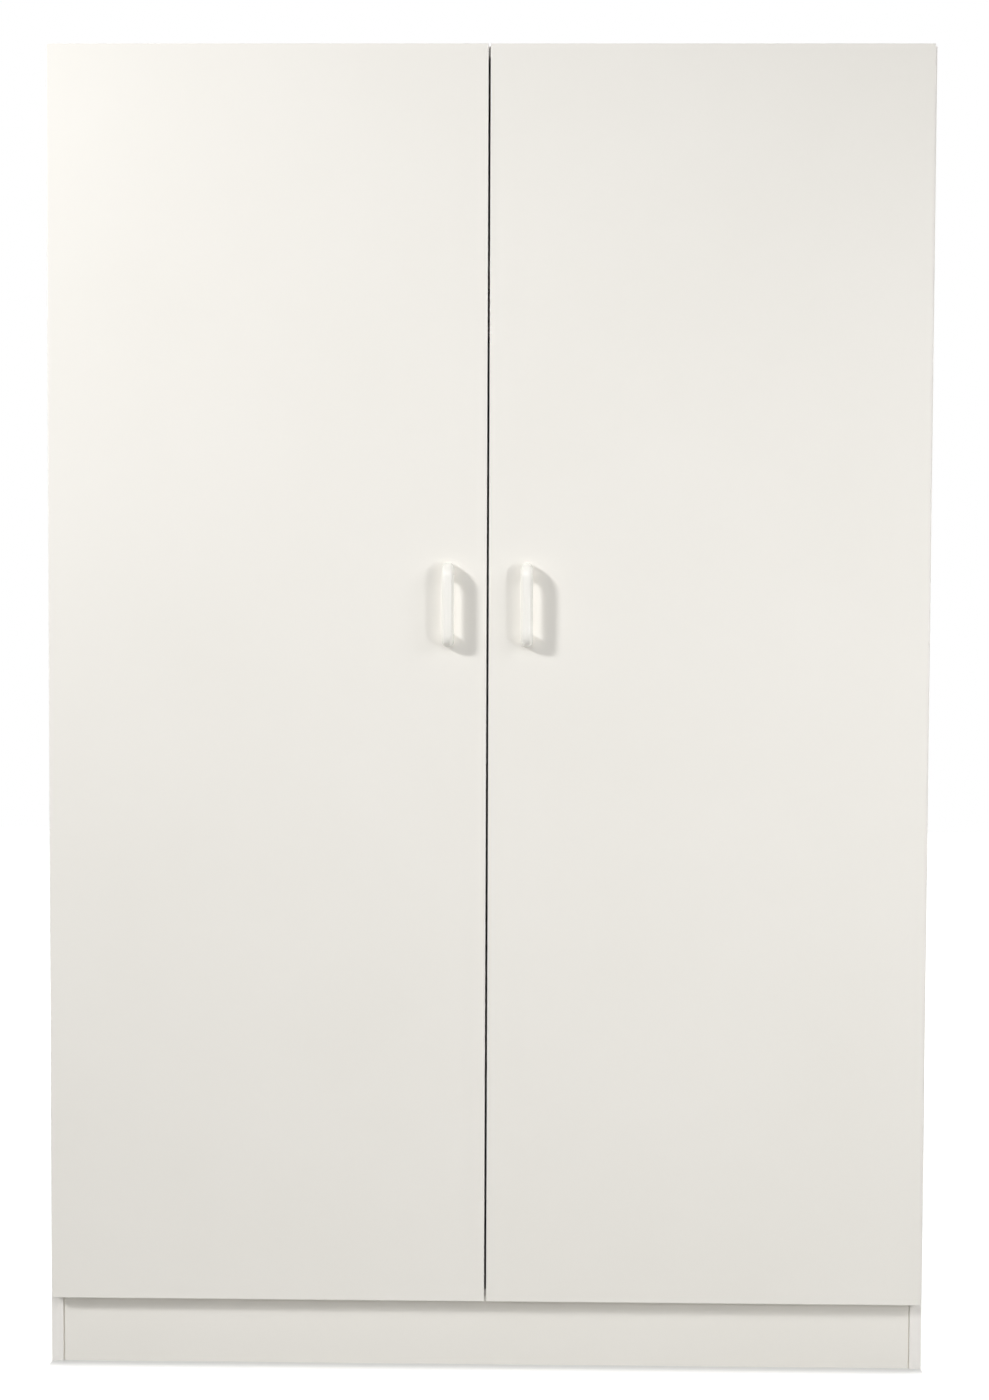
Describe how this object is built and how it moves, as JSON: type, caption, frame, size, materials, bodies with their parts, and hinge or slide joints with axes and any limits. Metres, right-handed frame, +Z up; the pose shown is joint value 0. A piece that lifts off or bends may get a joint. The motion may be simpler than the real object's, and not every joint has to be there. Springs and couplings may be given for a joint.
{
  "type": "two-door wardrobe",
  "caption": "Free-standing white board wardrobe with plain hinged doors, bow handles, a hat shelf and a hanging rail.",
  "frame": {"origin": "on the floor, under the middle of the wardrobe's box with its handles", "axes": "+Z up, -Y out of the doors towards the user, +X to the user's right"},
  "size_m": [1.2, 0.5528, 1.8],
  "materials": {
    "white_board": "white melamine face, fine texture",
    "white_edging": "thin white edging",
    "handle_plastic": "moulded, satin gloss",
    "hardboard": "lacquered hardboard",
    "chromed_tube": "bright chrome",
    "rail_fitting": "nickel-coloured die casting",
    "plated_steel": "nickel plated",
    "zinc_alloy": "raw die-cast zinc alloy",
    "beech": "plain beech",
    "bumper_rubber": "clear soft pad"
  },
  "bodies": {
    "carcass": {"back_joining_strip": "white_edging", "back_panel_left": "hardboard", "back_panel_right": "hardboard", "bottom_panel": "white_board", "cam_bolts": "plated_steel", "cam_locks": "zinc_alloy", "carcass_edging": "white_edging", "hanging_rail": "chromed_tube", "hat_shelf": "white_board", "hinge_arm_screws": "plated_steel", "hinge_plate_screws": "plated_steel", "kickboard": "white_board", "left_lower_hinge_arm": "plated_steel", "left_lower_hinge_plate": "plated_steel", "left_middle_hinge_arm": "plated_steel", "left_middle_hinge_plate": "plated_steel", "left_side_panel": "white_board", "left_upper_hinge_arm": "plated_steel", "left_upper_hinge_plate": "plated_steel", "rail_centre_support": "rail_fitting", "rail_screws": "plated_steel", "rail_socket_left": "rail_fitting", "rail_socket_right": "rail_fitting", "rear_plinth_rail": "white_board", "right_lower_hinge_arm": "plated_steel", "right_lower_hinge_plate": "plated_steel", "right_middle_hinge_arm": "plated_steel", "right_middle_hinge_plate": "plated_steel", "right_side_panel": "white_board", "right_upper_hinge_arm": "plated_steel", "right_upper_hinge_plate": "plated_steel", "top_panel": "white_board", "wood_dowels": "beech"},
    "left_door": {"left_cup_screws": "plated_steel", "left_door_bumpers": "bumper_rubber", "left_door_edging": "white_edging", "left_door_panel": "white_board", "left_handle": "handle_plastic", "left_handle_screws": "plated_steel", "left_hinge_pins": "plated_steel", "left_lower_hinge_cup": "plated_steel", "left_middle_hinge_cup": "plated_steel", "left_upper_hinge_cup": "plated_steel"},
    "right_door": {"right_cup_screws": "plated_steel", "right_door_bumpers": "bumper_rubber", "right_door_edging": "white_edging", "right_door_panel": "white_board", "right_handle": "handle_plastic", "right_handle_screws": "plated_steel", "right_hinge_pins": "plated_steel", "right_lower_hinge_cup": "plated_steel", "right_middle_hinge_cup": "plated_steel", "right_upper_hinge_cup": "plated_steel"}
  },
  "joints": [
    {"name": "left_door_hinge", "type": "hinge", "parent": "carcass", "child": "left_door", "pos_m": [-0.5884, -0.2398, 0.947], "axis": [0, 0, -1], "range_deg": [0, 95]},
    {"name": "right_door_hinge", "type": "hinge", "parent": "carcass", "child": "right_door", "pos_m": [0.5884, -0.2398, 0.947], "axis": [0, 0, 1], "range_deg": [0, 95]}
  ]
}
